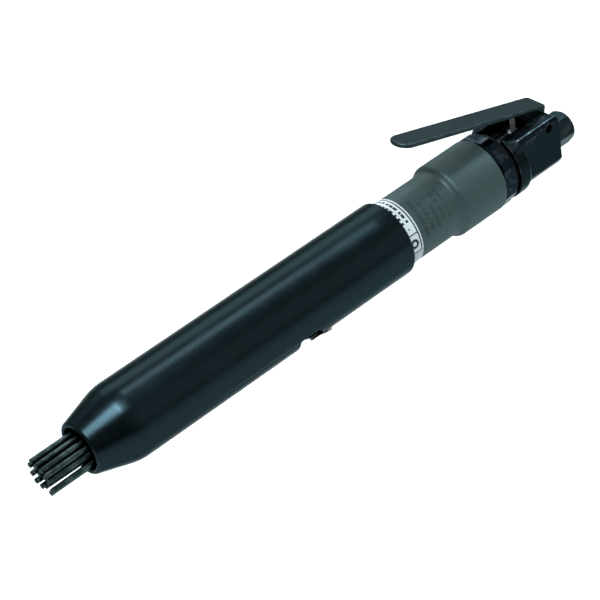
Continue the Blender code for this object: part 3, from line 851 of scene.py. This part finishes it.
def inlet():
    centre = AXIS + Vector((0, 0, -INLET_DROP * MM))
    rear = ends_of("inlet_bushing")[0]

    def spun(name, profile, steps):
        return turned(name, profile, steps, centre, False, False)

    turns = [math.radians(60 * k) for k in range(6)]
    corners = [(HEX_CORNER * math.cos(a), -INLET_DROP + HEX_CORNER * math.sin(a)) for a in turns]
    nut = drawn("inlet_hexagon", corners, endways, rear, -170.7)
    cone = ((-160.0, 0), (-160.0, 28.0), (-188.2, 10.4), (rear - 0.2, 8.6), (rear - 0.2, 0))
    carve(nut, spun("chamfer", cone, 96), "INTERSECT")
    stub = ((-171.5, 0), (-171.5, 7.6), (-160.5, 7.6), (-160.5, 0))
    carve(nut, spun("stub", stub, 96), "UNION")
    thread = [(rear - 1.0, 0), (rear - 1.0, 7.6)]
    x = rear + 0.6
    while x < -176.0:
        thread += [(x, 6.0), (x + 0.45, 6.0), (x + 0.9, 6.5)]
        x += THREAD_PITCH
    thread += [(-176.0, 6.0), (-150.0, 6.0), (-150.0, 0)]
    carve(nut, spun("thread", thread, 64))
    soften(nut, 0.12, 2, 35.0)
    finish(nut, TUBE_BLACK, "black_oxide", "housing", "inlet_bushing")


# ---------------------------------------------------------------- throttle


def lever():
    """A folded channel with a rounded tongue and two ears on the cross pin."""
    run = LEVER_TIP - LEVER_HEEL
    length = run.length
    along = run.normalized()
    up = Vector((-along.z, 0, along.x))

    def place(a, h, w):
        return (LEVER_HEEL + along * a + up * h + Vector((0, w, 0))) * MM + AXIS

    def in_plan(u, v, w):
        return place(u, w, v)

    centre = length - LEVER_HALF
    inner = LEVER_HALF - LEVER_WALL
    plan = [(0.0, -LEVER_HALF, 2.5)] + round_end(centre, LEVER_HALF) + [(0.0, LEVER_HALF, 2.5)]
    blade = drawn("lever_tongue", plan, in_plan, -LEVER_RIM, 0.0)
    soften(blade, 1.1, 5, 40.0, False)
    plan = [(LEVER_WALL, -inner)] + round_end(centre, inner) + [(LEVER_WALL, inner)]
    carve(blade, drawn("underside", plan, in_plan, -20.0, -LEVER_SHEET))
    wall = ((0.25, -5.2, 0.8), (0.25, -1.2), (2.2, -1.2), (2.2, -5.2))
    rear = drawn("turned_down_end", wall, place, -6.75, 6.75)
    soften(rear, 0.3, 2, 40.0)
    carve(blade, rear, "UNION")
    arm = (PIVOT - AXIS) / MM - LEVER_HEEL
    pa, ph = arm.dot(along), arm.dot(up)
    ears = [(2.2, -0.9), (19.0, -0.9), (19.0, -2.2)]
    turns = [math.radians(a) for a in range(28, -181, -13)]
    ears += [(pa + EAR_R * math.cos(a), ph + EAR_R * math.sin(a)) for a in turns]
    for low, high in ((4.75, 6.75), (-6.75, -4.75)):
        ear = drawn("lever_ear", ears, place, low, high)
        soften(ear, 0.3, 2, 40.0)
        carve(blade, ear, "UNION")
    carve(blade, pivot_rod("eye", 12.0, 2.55))
    settle("throttle_lever_blade")
    finish(blade, LEVER_BLACK, "lever_black", "lever", "throttle_lever")
    pin = pivot_rod("pivot_pin_bar", pin_hi.y / MM, 2.4)
    finish(pin, PIN_DARK, "tool_steel", "housing", "lever_pivot_pin")


def plunger():
    middle = (plunger_lo + plunger_hi) / 2
    z = AXIS.z / MM
    profile = ((z - 2.9, 0.0), (z - 2.9, 4.6, 0.3), (z - 1.0, 4.6), (z + 0.7, 3.9))
    profile += ((z + 0.7, 1.5), (z + 26.0, 1.5, 1.1), (z + 26.0, 0.0))
    stem = turned("throttle_plunger", profile, 48, Vector((middle.x, 0, 0)), True, False)
    finish(stem, PLUNGER, "bright_steel", "throttle", "throttle_valve")


# ---------------------------------------------------------------- carried-over solids


def inner_pieces():
    looks = {
        "latch_spring": WIRE, "needle_spring": WIRE, "throttle_spring": WIRE,
        "needle_holder": INNER, "anvil": INNER, "anvil_bush": BRIGHT, "piston": BRIGHT,
        "valve_seat": INNER, "valve_disc": BRIGHT, "valve_box": INNER, "valve_dowel": BRIGHT,
        "inlet_strainer": INNER, "throttle_bush": INNER, "valve_cap": TUBE_BLACK,
        "anvil_buffer": RUBBER, "barrel_oring": RUBBER, "spigot_oring": RUBBER, "cap_oring": RUBBER,
    }
    for name, mat in looks.items():
        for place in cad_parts[name].material_slots:
            place.material = mat


# ---------------------------------------------------------------- floor, light and sky


def floor():
    clear()
    bpy.ops.mesh.primitive_plane_add(size=12.0, location=(0, 0, -FLOOR_DROP * MM))
    sheet = settle("floor")
    mat, tree, shader = blank("pale_floor")
    shader.inputs["Base Color"].default_value = (0.86, 0.87, 0.87, 1)
    shader.inputs["Roughness"].default_value = 0.9
    sheet.data.materials.append(mat)


def softbox(name, place, aim, length, width, power, colour=(1, 1, 1)):
    """A rectangular light whose length lies along the tool."""
    data = bpy.data.lights.new(name, "AREA")
    data.shape = "RECTANGLE"
    data.size = length
    data.size_y = width
    data.energy = power
    data.color = colour
    lamp = bpy.data.objects.new(name, data)
    back = (Vector(place) - Vector(aim)).normalized()
    across = back.cross(Vector((1, 0, 0))).normalized()
    lamp.matrix_world = Matrix((across.cross(back), across, back)).transposed().to_4x4()
    lamp.location = place
    bpy.context.scene.collection.objects.link(lamp)


def studio():
    """Two soft boxes over the nose and head, a strip, two cards and a pale sky."""
    cool = (0.86, 0.95, 1.0)
    softbox("overhead_box", (0.25, 0.27, 1.22), (0.15, 0, 0.03), 0.20, 0.56, 17.5, cool)
    softbox("rear_strip", (-0.41, -0.25, 1.14), (-0.10, 0, 0.03), 0.30, 0.30, 2.3)
    softbox("head_strip", (-1.03, -0.20, 1.14), (-0.15, 0, 0.03), 0.20, 0.30, 15.0, cool)
    softbox("back_card", (-0.7, -1.3, 1.1), (0.0, 0, 0.0), 1.6, 0.8, 12.0)
    softbox("fill_card", (-0.5, 1.6, 0.9), (0.0, 0, 0.0), 2.4, 1.2, 3.0)
    world = bpy.data.worlds.new("studio")
    bpy.context.scene.world = world
    world.use_nodes = True
    tree = world.node_tree
    back = tree.nodes["Background"]
    rise = add(tree, "SeparateXYZ", {0: add(tree, "TexCoord").outputs["Generated"]})

    def ramp(axis, low, high, at_low, at_high):
        values = {"Value": rise.outputs[axis], 1: low, 2: high, 3: at_low, 4: at_high}
        return add(tree, "MapRange", values).outputs[0]

    sky = ramp("Z", 0.25, 0.95, 0.60, 0.40)
    dark_card = maths(tree, "MULTIPLY", ramp("X", -0.35, 0.0, 0.0, 0.9), ramp("Y", 0.15, 0.55, 0.0, 1.0))
    level = maths(tree, "MULTIPLY", sky, maths(tree, "SUBTRACT", 1.0, dark_card))
    tint = blend(tree, level, (0, 0, 0, 1), (0.97, 1.0, 1.0, 1))
    tree.links.new(tint, back.inputs["Color"])
    back.inputs["Strength"].default_value = 1.0
    bpy.context.scene.view_settings.view_transform = "Standard"


front_tube()
latch()
needle_bundle()
barrel()
collar()
head()
inlet()
lever()
plunger()
inner_pieces()
floor()
studio()
